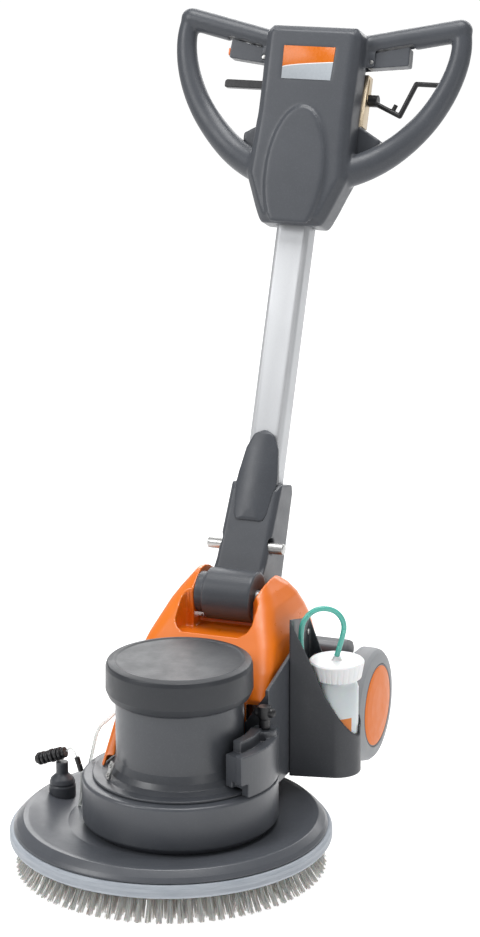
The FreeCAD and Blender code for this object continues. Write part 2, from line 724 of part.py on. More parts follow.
def grip_bar(side):
    start = V(side * 50, GRIP_T, 806)
    end = V(side * 206, GRIP_T, 840)
    bar = Part.makeCylinder(GRIP_R, end.sub(start).Length, start, end.sub(start))
    return bar.fuse(Part.makeSphere(GRIP_R, end))


def head_front():
    """Front half of the head with both grip loops."""
    body = front_profile(head_outline(), 50, 100)
    body = body.makeChamfer(10, [e for e in body.Edges if abs(e.CenterOfMass.y - 50) < 0.1])
    hollow = front_profile([(-36, 562), (-57, 614), (-58, 809), (58, 809), (57, 614), (36, 562)], 56, 101)
    oval = Part.makeCylinder(1, 5, V(0, 0, 0), V(0, -1, 0))
    squash = FreeCAD.Matrix(44, 0, 0, 0, 0, 1, 0, 51, 0, 0, 96, 612, 0, 0, 0, 1)
    oval = oval.transformGeometry(squash).common(front_profile(head_outline(), 40, 60))
    body = fuse(body.cut(hollow), oval)
    for side in (-1, 1):
        arm = loop_arc(side).fuse(grip_bar(side)).cut(trigger_slot(side))
        body = body.fuse(arm.cut(box(-64, 64, 60, 130, 560, 812)))
        body = body.multiFuse(trigger_cheeks(side))
        body = body.cut(Part.makeCylinder(3, 30, V(side * TRIGGER_PIN[0], 84, TRIGGER_PIN[1]), Y))
    body = body.cut(front_profile([(-39, 747), (36, 747), (38, 796), (-41, 796)], 48, 50.8))
    neck = rounded_box(-TUBE_W / 2, TUBE_W / 2, TUBE_Y - TUBE_D / 2, TUBE_Y + TUBE_D / 2, 530, 720, 8, Z)
    body = body.cut(neck)
    body = body.cut(front_profile([(-48, 500), (48, 500), (48, 575), (-48, 575)], 100, 140))
    return on_handle(max(body.removeSplitter().Solids, key=lambda s: s.Volume))


def head_back():
    """Rear shell: deep around the tube, low shelf behind the loops."""
    half = [(34, 545), (58, 600), (82, 640), (104, 664), (104, 676), (72, 694)]
    low = front_profile(half + [(-x, z) for x, z in reversed(half)], 100.2, 138)
    low = low.makeChamfer(8, [e for e in low.Edges if abs(e.CenterOfMass.y - 138) < 0.1])
    high = front_profile([(-58, 600), (-58, 812), (58, 812), (58, 600)], 100.2, 130)
    high = high.makeChamfer(8, [e for e in high.Edges if abs(e.CenterOfMass.y - 130) < 0.1])
    body = fuse(low, high)
    body = body.cut(front_profile([(-40, 600), (-52, 640), (-52, 806), (52, 806), (52, 640), (40, 600)],
                                  99, 124))
    neck = rounded_box(-TUBE_W / 2, TUBE_W / 2, TUBE_Y - TUBE_D / 2, TUBE_Y + TUBE_D / 2, 530, 720, 8, Z)
    for side in (-1, 1):
        body = body.cut(loop_arc(side))
        body = body.cut(grip_bar(side))
    return on_handle(max(body.cut(neck).Solids, key=lambda s: s.Volume))


def label_plate():
    plate = front_profile([(-38.6, 747.4), (35.6, 747.4), (37.6, 795.6), (-40.6, 795.6)], 49.6, 50.8)
    return on_handle(plate)


def cable_gland():
    """Strain relief where the mains lead enters the back of the head."""
    gland = Part.makeCylinder(11, 14, V(0, 138, 660), Y)
    nut = Part.makeCylinder(8.5, 24, V(0, 138, 660), Y)
    bore = Part.makeCylinder(5, 30, V(0, 136, 660), Y)
    return on_handle(fuse(gland, nut).cut(bore))


def side_plate():
    """Steel plate on the right of the head that carries the spray lever."""
    plate = box(72.2, 75, 102, 124, 694, 770)
    web = box(58.2, 74, 102, 105, 694, 770)
    slot = box(70, 80, 106, 111, 735, 765)
    stud = rod_x(4, 73, 84, *SPRAY_PIVOT)
    return on_handle(fuse(plate, web).cut(slot).fuse(stud))


TRIGGER_PIN = (82.0, 785.0)


def trigger(side):
    """Switch trigger under one grip bar, hinged at its inner end."""
    shape = front_profile([(75, 776), (137, 783), (136, 811), (75, 797.5)], 88, 108)
    shape = shape.makeFillet(3, edges_along(shape, Y))
    shape = shape.cut(Part.makeCylinder(3 + RUN_FIT, 30, V(TRIGGER_PIN[0], 84, TRIGGER_PIN[1]), Y))
    if side < 0:
        shape = shape.mirror(V(0, 0, 0), X)
        shape = shape.cut(box(-142, -128, 92, 104, 787, 799))
    return on_handle(shape)


def trigger_cheeks(side):
    """Pair of cheeks on the head that hold one trigger's pin."""
    cheeks = []
    for y in (84.5, 108.3):
        cheek = front_profile([(60, 774), (88, 778), (88, 799), (60, 799)], y, y + 3.2)
        cheeks.append(cheek if side > 0 else cheek.mirror(V(0, 0, 0), X))
    return cheeks


def safety_button():
    return on_handle(rounded_box(-140.5, -131.4, 92.3, 103.7, 787.3, 798.7, 3, X))


def release_lever():
    """Flat lever on the left that frees the handle tilt."""
    blade = front_profile([(-149, 745), (-149, 754), (-146, 757), (-76, 757), (-76, 745)], 115, 126)
    blade = blade.makeFillet(2.5, edges_along(blade, Y))
    boss = Part.makeCylinder(9, 11, V(-76, 115, 751), Y)
    bore = Part.makeCylinder(4 + RUN_FIT, 20, V(-76, 108, 751), Y)
    return on_handle(fuse(blade, boss).cut(bore))


def lever_pins():
    """Pins of the triggers, and the pin and bracket of the release lever."""
    pins = [Part.makeCylinder(3, 27, V(side * TRIGGER_PIN[0], 84.5, TRIGGER_PIN[1]), Y) for side in (-1, 1)]
    pin = Part.makeCylinder(4, 17, V(-76, 112, 751), Y)
    cheek = box(-86, -58.2, 111.7, 114.5, 741, 761)
    return on_handle(Part.makeCompound(pins + [fuse(pin, cheek)]))


SPRAY_PIVOT = (118.0, 736.0)
SPRAY_ROD = [(86, 732), (124, 716), (143, 764), (189, 764)]


def spray_lever():
    """Bent rod on the right that works the spray."""
    rod_y, hub_z = SPRAY_PIVOT
    points = [V(x, rod_y, z) for x, z in SPRAY_ROD]
    pieces = []
    for a, b in zip(points, points[1:]):
        pieces.append(Part.makeCylinder(3.8, b.sub(a).Length, a, b.sub(a)))
        pieces.append(Part.makeSphere(3.8, b))
    hub = rod_x(9, 75.4, 89, rod_y, hub_z)
    nut = Part.makeCylinder(3.2, 12, V(112, rod_y, 721), V(0.38, 0, 0.92))
    return on_handle(fuse(hub, nut, *pieces).cut(rod_x(4 + RUN_FIT, 74, 84.5, rod_y, hub_z)))


def lock_rod():
    """Cross pin of the tilt lock and the rod that lifts it."""
    pin = rod_x(8, -57, 57, 48, 73)
    pin = pin.makeChamfer(1.5, [e for e in pin.Edges if e.Closed])
    link = box(-6, 6, 48, 86, 69, 79)
    rod = cyl(4, 69, 735, 0, TUBE_Y)
    return on_handle(fuse(pin, link, rod))


# ---- export -------------------------------------------------------------------------
PARTS = {
    "brush_housing": brush_housing, "bumper_ring": bumper_ring, "gear_case": gear_case,
    "gearbox_bearings": gearbox_bearings, "motor_housing": motor_housing, "motor_cap": motor_cap,
    "stator": stator, "rotor_bearings": rotor_bearings, "chassis_frame": chassis_frame,
    "hood": hood, "fender": fender, "axle": axle, "pivot_pin": pivot_pin,
    "clamp_bracket": clamp_bracket, "clamp_knob": clamp_knob, "riveted_tab": riveted_tab,
    "inlet_neck": inlet_neck, "spray_plug": spray_plug,
    "inline_valve": inline_valve, "bottle_holder": bottle_holder, "holder_screws": holder_screws,
    "bottle": bottle, "bottle_cap": bottle_cap, "dip_tube": dip_tube, "hose_plug": hose_plug,
    "drive_shaft": drive_shaft, "output_gear": output_gear, "drive_hub": drive_hub,
    "brush_block": brush_block, "bristles": bristles, "layshaft": layshaft,
    "layshaft_gear": layshaft_gear, "layshaft_pinion": layshaft_pinion, "rotor_shaft": rotor_shaft,
    "rotor_core": rotor_core, "motor_pinion": motor_pinion, "cooling_fan": cooling_fan,
    "joint_casting": joint_casting, "tongue_cover": tongue_cover, "handle_tube": handle_tube,
    "head_front": head_front, "head_back": head_back, "label_plate": label_plate,
    "cable_gland": cable_gland, "side_plate": side_plate, "lever_pins": lever_pins,
    "safety_button": safety_button, "release_lever": release_lever, "spray_lever": spray_lever,
    "lock_rod": lock_rod,
    "trigger_left": lambda: trigger(-1), "trigger_right": lambda: trigger(1),
    "wheel_left": lambda: wheel(-1), "wheel_right": lambda: wheel(1),
    "hub_disc_left": lambda: hub_disc(-1), "hub_disc_right": lambda: hub_disc(1),
    "hose": lambda: cord("hose", HOSE, HOSE_R),
    "spray_tube": lambda: cord("spray_tube", SPRAY_TUBE, TUBE_LINE_R),
    "nozzle_tube": lambda: cord("nozzle_tube", NOZZLE_TUBE, THIN_LINE_R),
    "drop_tube": lambda: cord("drop_tube", DROP_TUBE, THIN_LINE_R),
}

os.makedirs("parts", exist_ok=True)
for node, build in PARTS.items():
    shape = build()
    print(node, len(shape.Solids), "valid" if shape.isValid() else "INVALID", round(shape.Volume / 1000, 1))
    shape.exportStep("parts/" + node + ".step")
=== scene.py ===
"""Looks of the rotary floor machine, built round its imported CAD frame. Metres, +Z up."""
import bmesh
import bpy
import math
import json
import random
from mathutils import Matrix, Vector


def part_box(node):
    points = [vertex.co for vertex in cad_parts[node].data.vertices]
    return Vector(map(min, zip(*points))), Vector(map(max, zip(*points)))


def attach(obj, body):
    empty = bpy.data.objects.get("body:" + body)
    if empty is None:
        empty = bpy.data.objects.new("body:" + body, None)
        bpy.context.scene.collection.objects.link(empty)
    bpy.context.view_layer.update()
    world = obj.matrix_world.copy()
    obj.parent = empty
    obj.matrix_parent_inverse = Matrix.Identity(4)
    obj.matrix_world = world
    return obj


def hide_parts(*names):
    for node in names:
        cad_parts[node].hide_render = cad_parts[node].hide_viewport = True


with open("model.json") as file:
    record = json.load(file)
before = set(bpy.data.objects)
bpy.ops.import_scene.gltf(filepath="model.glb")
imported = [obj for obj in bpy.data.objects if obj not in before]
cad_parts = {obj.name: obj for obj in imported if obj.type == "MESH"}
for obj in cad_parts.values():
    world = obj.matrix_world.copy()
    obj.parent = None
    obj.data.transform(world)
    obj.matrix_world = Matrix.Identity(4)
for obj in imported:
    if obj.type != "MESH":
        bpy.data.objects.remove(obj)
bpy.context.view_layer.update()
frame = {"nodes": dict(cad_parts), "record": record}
scene = bpy.context.scene
record = frame["record"]
SLOT_OF = {part["node"]: part["material_slot"] for part in record["subparts"]}
BODY_OF = {node: body for body, nodes in record["behaviour"]["bodies"].items() for node in nodes}

MM = 0.001
LEAN = math.radians(21.7)                       # the handle leans back this far at rest


def centre_of(node):
    low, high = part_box(node)
    return (low + high) / 2


MOTOR_X = centre_of("motor_cap").x
AXLE = centre_of("axle")


def linked(name, data):
    """A new object in the scene."""
    made = bpy.data.objects.new(name, data)
    scene.collection.objects.link(made)
    return made


# ---- camera -------------------------------------------------------------------------
def turned_by(degrees, axis):
    return Matrix.Rotation(math.radians(degrees), 4, axis)


def aim_camera(place, azimuth, down, roll, lens):
    """Camera turned from straight ahead (+Y) by the azimuth, then tipped down and rolled."""
    data = bpy.data.cameras.new("camera")
    data.lens = lens
    scene.camera = linked("camera", data)
    turn = turned_by(azimuth, "Z") @ turned_by(90 - down, "X") @ turned_by(roll, "Z")
    scene.camera.matrix_world = Matrix.Translation(place) @ turn


aim_camera((1.4345, -3.5590, 1.6281), azimuth=20.53, down=15.60, roll=-0.144, lens=115.9)


# ---- cords --------------------------------------------------------------------------
def cord(node, radius, points):
    """Tube on the same points, in millimetres, as the CAD solid that it stands for. Each point
    carries the tube's radius, so the bevel itself is one metre and the box stays tight."""
    curve = bpy.data.curves.new(node + "_line", "CURVE")
    curve.dimensions = "3D"
    curve.bevel_depth = 1.0
    curve.bevel_resolution = 6
    curve.resolution_u = 16
    curve.use_fill_caps = True
    spline = curve.splines.new("NURBS")
    spline.points.add(len(points) - 1)
    for point, place in zip(spline.points, points):
        point.co = (*(Vector(place) * MM), 1)
        point.radius = radius * MM
    spline.order_u = 3
    spline.use_endpoint_u = True
    piece = linked(node + "_line", curve)
    return piece


CORDS = {
    "hose": cord("hose", 3.8, [
        (179, 172, 261.2), (184.9, 175, 283.5), (189.4, 177.3, 308), (176.9, 170.9, 328.5),
        (153.4, 158.8, 332), (136, 149.9, 314), (134.2, 149, 286), (136.5, 150.6, 257),
        (139.2, 151.8, 227.5), (140, 152, 198)]),
    "spray_tube": cord("spray_tube", 2.3, [
        (-93, 98, 198), (-108.1, 46, 176.1), (-116.8, 24, 170.9), (-121.3, 14, 137.3),
        (-127.4, 4, 97.5), (-134.8, -2, 62.7)]),
    "nozzle_tube": cord("nozzle_tube", 1.2, [
        (-163, 20, 131), (-156.2, 15, 139.7), (-146.4, 9, 138), (-141.1, 5, 130.9)]),
    "drop_tube": cord("drop_tube", 1.2, [
        (-133.8, 3, 111.4), (-133.1, 3, 94.2), (-136.6, 2.4, 62.7)]),
}


# ---- materials ----------------------------------------------------------------------
class Shader:
    """A Principled material, and short ways to add the nodes that vary it."""

    def __init__(self, name, **sockets):
        self.material = bpy.data.materials.new(name)
        self.material.use_nodes = True
        self.tree = self.material.node_tree
        self.surface = self.tree.nodes["Principled BSDF"]
        for key, value in sockets.items():
            self.surface.inputs[key.replace("_", " ")].default_value = value
        self.coords = self.tree.nodes.new("ShaderNodeTexCoord").outputs["Object"]

    def node(self, kind, inputs=(), **settings):
        made = self.tree.nodes.new("ShaderNode" + kind)
        for key, value in settings.items():
            setattr(made, key, value)
        for key, value in dict(inputs).items():
            if isinstance(value, bpy.types.NodeSocket):
                self.tree.links.new(value, made.inputs[key])
            else:
                made.inputs[key].default_value = value
        return made

    def turned(self, rotation=(0, 0, 0), scale=(1, 1, 1)):
        mapping = self.node("Mapping", {"Vector": self.coords, "Rotation": rotation, "Scale": scale})
        return mapping.outputs["Vector"]

    def noise(self, scale, detail=3.0, rough=0.55, vector=None):
        made = self.node("TexNoise", {"Vector": vector or self.coords, "Scale": scale, "Detail": detail,
                                      "Roughness": rough})
        return made.outputs["Fac"]

    def cells(self, scale):
        return self.node("TexVoronoi", {"Vector": self.coords, "Scale": scale}).outputs["Distance"]

    def stretch(self, value, low, high, to_low, to_high):
        made = self.node("MapRange", {"Value": value, "From Min": low, "From Max": high,
                                      "To Min": to_low, "To Max": to_high}, clamp=True)
        return made.outputs["Result"]

    def maths(self, operation, a, b=0.0):
        return self.node("Math", {0: a, 1: b}, operation=operation).outputs["Value"]

    def near(self, value, target, reach):
        """1 where the value is less than the reach away from the target, else 0."""
        away = self.maths("ABSOLUTE", self.maths("SUBTRACT", value, target))
        return self.maths("LESS_THAN", away, reach)

    def blend(self, factor, a, b):
        made = self.node("MixRGB", {"Fac": factor, "Color1": a, "Color2": b})
        return made.outputs["Color"]

    def parts(self):
        return self.node("SeparateXYZ", {"Vector": self.coords}).outputs

    def put(self, socket, value):
        self.tree.links.new(value, self.surface.inputs[socket])

    def bump(self, height, distance):
        made = self.node("Bump", {"Height": height, "Distance": distance, "Strength": 1.0})
        self.put("Normal", made.outputs["Normal"])

    def edges(self):
        """0 on flats and hollows, 1 on the sharp outer edges."""
        point = self.node("NewGeometry").outputs["Pointiness"]
        return self.stretch(point, 0.52, 0.60, 0.0, 1.0)


def rgb(r, g, b):
    return (r, g, b, 1.0)


def moulded(name, colour, light, rough, grain, **sockets):
    """Moulded plastic or enamel: fine grain, a cloudy tint and rubbed edges."""
    s = Shader(name, **sockets)
    cloud = s.stretch(s.noise(9, 4), 0.35, 0.65, 0.0, 1.0)
    speck = s.stretch(s.noise(420, 2), 0.5, 0.85, 0.0, 0.16)
    tint = s.blend(cloud, rgb(*(c * 0.93 for c in colour)), rgb(*(c * 1.06 for c in colour)))
    tint = s.blend(speck, tint, rgb(*light))
    tint = s.blend(s.maths("MULTIPLY", s.edges(), s.noise(60, 4)), tint, rgb(*light))
    s.put("Base Color", tint)
    s.put("Roughness", s.stretch(s.noise(35, 5, 0.7), 0.3, 0.7, rough - 0.06, rough + 0.08))
    s.bump(s.maths("ADD", s.noise(1500, 2), s.maths("MULTIPLY", s.noise(160, 2), 1.5)), grain * MM)
    return s.material


def metal(name, colour, rough, marks, **sockets):
    """Bare metal with short marks across it and a cloudy shine."""
    s = Shader(name, Metallic=1.0, **sockets)
    fine = s.noise(1.0, 4, 0.6, s.turned(scale=marks))
    cloud = s.noise(45, 4)
    s.put("Base Color", s.blend(cloud, rgb(*(c * 0.86 for c in colour)), rgb(*colour)))
    s.put("Roughness", s.stretch(s.maths("ADD", fine, cloud), 0.7, 1.3, rough - 0.08, rough + 0.12))
    s.bump(fine, 0.02 * MM)
    return s.material


def tube_metal():
    """Satin anodised tube with drawing marks that run up the leaning handle."""
    s = Shader("tube_silver", Metallic=0.75, Specular_IOR_Level=0.5)
    along = s.turned(rotation=(LEAN, 0, 0), scale=(900, 900, 7))
    marks = s.noise(1.0, 3, 0.5, along)
    cloud = s.noise(12, 3)
    s.put("Base Color", s.blend(marks, rgb(0.48, 0.49, 0.505), rgb(0.57, 0.58, 0.595)))
    s.put("Roughness", s.stretch(s.maths("ADD", marks, cloud), 0.7, 1.3, 0.44, 0.58))
    s.bump(marks, 0.02 * MM)
    return s.material


def orange_gloss():
    """Glossy orange moulding with a soft ripple and a few fine scuffs."""
    s = Shader("orange_plastic", Coat_Weight=0.55, Coat_Roughness=0.30, Specular_IOR_Level=0.45)
    cloud = s.stretch(s.noise(7, 3), 0.35, 0.65, 0.0, 1.0)
    tint = s.blend(cloud, rgb(0.74, 0.155, 0.003), rgb(0.79, 0.178, 0.004))
    scratches = s.noise(1.0, 5, 0.7, s.turned((0.3, 0.2, 0.5), (18, 240, 90)))
    scuff = s.stretch(scratches, 0.66, 0.78, 0.0, 0.25)
    tint = s.blend(scuff, tint, rgb(0.86, 0.27, 0.03))
    s.put("Base Color", tint)
    s.put("Roughness", s.stretch(s.noise(50, 5, 0.7), 0.3, 0.7, 0.26, 0.38))
    s.bump(s.maths("ADD", s.noise(240, 2), s.maths("MULTIPLY", s.noise(1400, 2), 0.3)), 0.03 * MM)
    return s.material


def bumper_rubber():
    """Pale blue-grey rubber with rubbed patches and small dark knocks."""
    s = Shader("bumper_grey", Specular_IOR_Level=0.4)
    band = s.noise(1.0, 5, 0.65, s.turned(scale=(30, 30, 260)))
    tint = s.blend(s.stretch(band, 0.3, 0.7, 0, 1), rgb(0.30, 0.33, 0.37), rgb(0.39, 0.42, 0.46))
    knocks = s.stretch(s.noise(70, 6, 0.7), 0.66, 0.72, 0.0, 0.5)
    s.put("Base Color", s.blend(knocks, tint, rgb(0.12, 0.13, 0.14)))
    s.put("Roughness", s.stretch(band, 0.3, 0.7, 0.42, 0.6))
    s.bump(s.noise(900, 3), 0.05 * MM)
    return s.material


def nylon():
    """Nylon filaments: off-white, each a little different, greyer at the root."""
    s = Shader("bristle_white", Roughness=0.5, Subsurface_Weight=0.15, Subsurface_Scale=0.003)
    height = s.stretch(s.parts()["Z"], 0.004, 0.03, 0.0, 1.0)
    strand = s.noise(650, 2)
    tint = s.blend(strand, rgb(0.60, 0.59, 0.56), rgb(0.76, 0.755, 0.735))
    tint = s.blend(s.maths("MULTIPLY", height, 0.6), tint, rgb(0.50, 0.48, 0.45))
    s.put("Base Color", tint)
    s.bump(s.noise(1500, 2), 0.05 * MM)
    return s.material


def tyre_rubber():
    s = Shader("tyre_grey", Specular_IOR_Level=0.35)
    cloud = s.noise(40, 5, 0.65)
    dust = s.stretch(s.noise(16, 4), 0.45, 0.7, 0.0, 0.35)
    tint = s.blend(cloud, rgb(0.24, 0.25, 0.26), rgb(0.30, 0.31, 0.325))
    s.put("Base Color", s.blend(dust, tint, rgb(0.37, 0.37, 0.36)))
    s.put("Roughness", s.stretch(cloud, 0.3, 0.7, 0.5, 0.7))
    s.bump(s.maths("ADD", s.noise(800, 2), s.cells(300)), 0.06 * MM)
    return s.material


RIM_AT = 0.058                                  # the hub disc's orange field ends here


def disc_face():
    """Hub disc: orange field inside a grey rim, told apart by distance from the axle."""
    s = Shader("wheel_disc", Coat_Weight=0.03, Coat_Roughness=0.2, Specular_IOR_Level=0.12)
    part = s.parts()
    dy = s.maths("SUBTRACT", part["Y"], AXLE.y)
    dz = s.maths("SUBTRACT", part["Z"], AXLE.z)
    squares = s.maths("ADD", s.maths("MULTIPLY", dy, dy), s.maths("MULTIPLY", dz, dz))
    radius = s.maths("SQRT", squares)
    rim = s.stretch(radius, RIM_AT - 0.0002, RIM_AT + 0.0002, 0.0, 1.0)
    cloud = s.noise(20, 4)
    face = s.blend(cloud, rgb(0.68, 0.150, 0.004), rgb(0.73, 0.168, 0.006))
    s.put("Base Color", s.blend(rim, face, rgb(0.11, 0.115, 0.12)))
    s.put("Roughness", s.stretch(s.noise(60, 4), 0.3, 0.7, 0.3, 0.42))
    s.bump(s.noise(700, 3), 0.02 * MM)
    return s.material


LABEL_TURN = math.radians(45)                   # bottle label: its middle, round from the front
LABEL_HALF = math.radians(17)
LABEL_UP = 0.071
LABEL_TALL = 0.022


def bottle_plastic():
    """Milky blown plastic, faintly cloudy, with a small plain orange label low on its right."""
    s = Shader("bottle_clear", Transmission_Weight=0.30, IOR=1.49, Subsurface_Weight=0.2,
               Subsurface_Scale=0.01)
    middle = centre_of("bottle")
    part = s.parts()
    milk = s.blend(s.noise(30, 4), rgb(0.80, 0.83, 0.86), rgb(0.92, 0.93, 0.94))
    across = s.maths("SUBTRACT", part["X"], middle.x)
    ahead = s.maths("SUBTRACT", middle.y, part["Y"])
    angle = s.maths("ARCTAN2", across, ahead)
    label = s.maths("MULTIPLY", s.near(angle, LABEL_TURN, LABEL_HALF),
                    s.near(part["Z"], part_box("bottle")[0].z + LABEL_UP, LABEL_TALL / 2))
    s.put("Base Color", s.blend(label, milk, rgb(0.86, 0.24, 0.02)))
    s.put("Roughness", s.stretch(s.noise(80, 4), 0.3, 0.7, 0.28, 0.42))
    s.bump(s.noise(120, 3), 0.08 * MM)
    return s.material


def clear(name, colour, through, rough):
    """Soft clear or tinted tube with a faint haze along it."""
    s = Shader(name, Transmission_Weight=through, IOR=1.45, Coat_Weight=0.4, Coat_Roughness=0.1)
    haze = s.noise(90, 4)
    s.put("Base Color", s.blend(haze, rgb(*(c * 0.88 for c in colour)), rgb(*colour)))
    s.put("Roughness", s.stretch(haze, 0.3, 0.7, rough - 0.05, rough + 0.08))
    s.bump(s.noise(500, 2), 0.02 * MM)
    return s.material


def label_print():
    """Plain label: orange over grey, split by a slanting curve with a thin pale line on it."""
    s = Shader("label_print", Coat_Weight=0.1, Coat_Roughness=0.2, Specular_IOR_Level=0.3)
    low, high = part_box("label_plate")
    across = s.stretch(s.parts()["X"], low.x, high.x, 0.0, 1.0)
    up = s.stretch(s.parts()["Z"], low.z, high.z, 0.0, 1.0)
    curve = s.maths("ADD", s.maths("MULTIPLY", s.maths("POWER", across, 0.55), 0.22), 0.33)
    over = s.maths("GREATER_THAN", up, curve)
    line = s.near(up, curve, 0.012)
    grey = s.blend(s.noise(50, 3), rgb(0.36, 0.39, 0.42), rgb(0.40, 0.43, 0.46))
    orange = s.blend(s.noise(50, 3), rgb(0.54, 0.122, 0.003), rgb(0.57, 0.134, 0.005))
    tint = s.blend(over, grey, orange)
    s.put("Base Color", s.blend(line, tint, rgb(0.80, 0.80, 0.80)))
    s.put("Roughness", s.stretch(s.noise(200, 3), 0.3, 0.7, 0.22, 0.34))
    s.bump(s.noise(900, 2), 0.01 * MM)
    return s.material


CHARCOAL = (0.060, 0.065, 0.075)
CHARCOAL_LIGHT = (0.13, 0.14, 0.155)
MATERIALS = {
    "charcoal_paint": moulded("charcoal_paint", CHARCOAL, CHARCOAL_LIGHT, 0.34, 0.014, Coat_Weight=0.15,
                              Coat_Roughness=0.25),
    "charcoal_plastic": moulded("charcoal_plastic", CHARCOAL, CHARCOAL_LIGHT, 0.36, 0.018,
                                Specular_IOR_Level=0.38),
    "dark_plastic": moulded("dark_plastic", (0.034, 0.037, 0.044), (0.10, 0.105, 0.115), 0.40, 0.025),
    "yellow_zinc": metal("yellow_zinc", (0.60, 0.50, 0.36), 0.36, (300, 300, 30)),
    "orange_plastic": orange_gloss(),
    "bumper_grey": bumper_rubber(),
    "brush_board": moulded("brush_board", (0.35, 0.35, 0.34), (0.6, 0.6, 0.58), 0.5, 0.05),
    "bristle_white": nylon(),
    "black_plastic": moulded("black_plastic", (0.012, 0.012, 0.014), (0.07, 0.07, 0.075), 0.36, 0.04),
    "tube_silver": tube_metal(),
    "steel": metal("steel", (0.42, 0.42, 0.43), 0.42, (300, 300, 40)),
    "zinc": metal("zinc", (0.50, 0.50, 0.49), 0.36, (400, 400, 400)),
    "gear_steel": metal("gear_steel", (0.36, 0.36, 0.38), 0.34, (500, 500, 60)),
    "iron_core": metal("iron_core", (0.16, 0.15, 0.15), 0.5, (60, 60, 2200)),
    "cast_alloy": metal("cast_alloy", (0.50, 0.51, 0.53), 0.46, (250, 250, 250)),
    "tyre_grey": tyre_rubber(),
    "wheel_disc": disc_face(),
    "bottle_clear": bottle_plastic(),
    "cap_white": moulded("cap_white", (0.80, 0.81, 0.82), (0.92, 0.92, 0.92), 0.34, 0.03,
                         Subsurface_Weight=0.15, Subsurface_Scale=0.004),
    "hose_teal": clear("hose_teal", (0.13, 0.60, 0.50), 0.25, 0.22),
    "line_clear": clear("line_clear", (0.86, 0.89, 0.87), 0.65, 0.14),
    "label_print": label_print(),
}
# Lighter charcoal for the deck and gear case: painted light.
DECK_LIT_TONE = tuple(c * 1.22 for c in CHARCOAL)
# Darker charcoal for the motor cap: painted shade.
CAP_SHADED_TONE = tuple(c * 0.55 for c in CHARCOAL)
deck_lit_paint = moulded("deck_lit_paint", DECK_LIT_TONE, CHARCOAL_LIGHT, 0.34, 0.014, Coat_Weight=0.15,
                     Coat_Roughness=0.25)
LIT_AND_SHADED_PAINT = {
    "brush_housing": deck_lit_paint, "gear_case": deck_lit_paint,
    # The motor cap's darker charcoal is painted shade.
    "motor_cap": moulded("cap_shaded_paint", CAP_SHADED_TONE, CHARCOAL, 0.40, 0.02, Specular_IOR_Level=0.38),
}


def paint(node):
    """The deck and gear case take a lighter copy of the charcoal, which is painted light, and the motor
    cap a darker copy, which is painted shade; the rest take their slot's material.
    """
    return LIT_AND_SHADED_PAINT.get(node) or MATERIALS[SLOT_OF[node]]


# ---- mesh helpers -------------------------------------------------------------------
def stand_in(piece, node):
    """The piece takes the node's body and material, and the node is hidden."""
    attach(piece, BODY_OF[node])
    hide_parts(node)
    piece.data.materials.clear()
    piece.data.materials.append(paint(node))


def as_piece(name, bm, smooth_angle):
    """Object from a bmesh, smooth but for edges sharper than the angle."""
    mesh = bpy.data.meshes.new(name)
    bm.to_mesh(mesh)
    bm.free()
    mesh.shade_smooth()
    mesh.set_sharp_from_angle(angle=math.radians(smooth_angle))
    return linked(name, mesh)


def weld(piece):
    piece.modifiers.new("weld", "WELD").merge_threshold = 0.01 * MM


def bake(piece):
    """Works the piece's modifiers into its mesh."""
    shown = piece.evaluated_get(bpy.context.evaluated_depsgraph_get())
    mesh = bpy.data.meshes.new_from_object(shown)
    piece.modifiers.clear()
    piece.data = mesh


def softened(node, voxel, passes):
    """The node's solid as a moulding: meshed evenly, with every edge rounded over."""
    piece = linked(node + "_shell", frame["nodes"][node].data.copy())
    weld(piece)
    remesh = piece.modifiers.new("remesh", "REMESH")
    remesh.mode = "VOXEL"
    remesh.voxel_size = voxel * MM
    smooth = piece.modifiers.new("smooth", "SMOOTH")
    smooth.factor = 0.5
    smooth.iterations = passes
    bake(piece)
    piece.data.shade_smooth()
    stand_in(piece, node)


ARC_STEPS = 5


def rounded(points, radius):
    """Outline with each of its inner corners turned into an arc of about the radius."""
    points = [Vector(p) for p in points]
    out = [points[0]]
    for before, here, after in zip(points, points[1:], points[2:]):
        a, b = before - here, after - here
        if a.length < 1e-9 or b.length < 1e-9:
            continue
        half = a.angle(b) / 2
        reach = min(radius / math.tan(half), 0.45 * a.length, 0.45 * b.length)
        start, end = here + a.normalized() * reach, here + b.normalized() * reach
        for n in range(ARC_STEPS + 1):
            t = n / ARC_STEPS
            out.append(start * (1 - t) ** 2 + here * 2 * t * (1 - t) + end * t ** 2)
    out.append(points[-1])
    return out


def lathe(name, profile, radius, centre=(0.0, 0.0), turns=192, shape=None):
    """Mesh turned about an upright line, from (r, z) in millimetres, its corners rounded.
    shape(r, z, angle) may give each point another radius."""
    outline = rounded(profile, radius)
    bm = bmesh.new()
    columns = []
    for n in range(turns):
        angle = 2 * math.pi * n / turns
        column = []
        for r, z in outline:
            wide = shape(r, z, angle) if shape else r
            column.append(bm.verts.new(((centre[0] + wide * math.cos(angle)) * MM,
                                        (centre[1] + wide * math.sin(angle)) * MM, z * MM)))
        columns.append(column)
    for a, b in zip(columns, columns[1:] + columns[:1]):
        for n in range(len(outline) - 1):
            bm.faces.new((a[n], b[n], b[n + 1], a[n + 1]))
    bmesh.ops.remove_doubles(bm, verts=bm.verts, dist=1e-6)
    bmesh.ops.recalc_face_normals(bm, faces=bm.faces)
    return as_piece(name, bm, 35)


# ---- deck and brush -----------------------------------------------------------------
HUB = (MOTOR_X / MM, 0.0)                       # the motor stands beside the brush's own axis

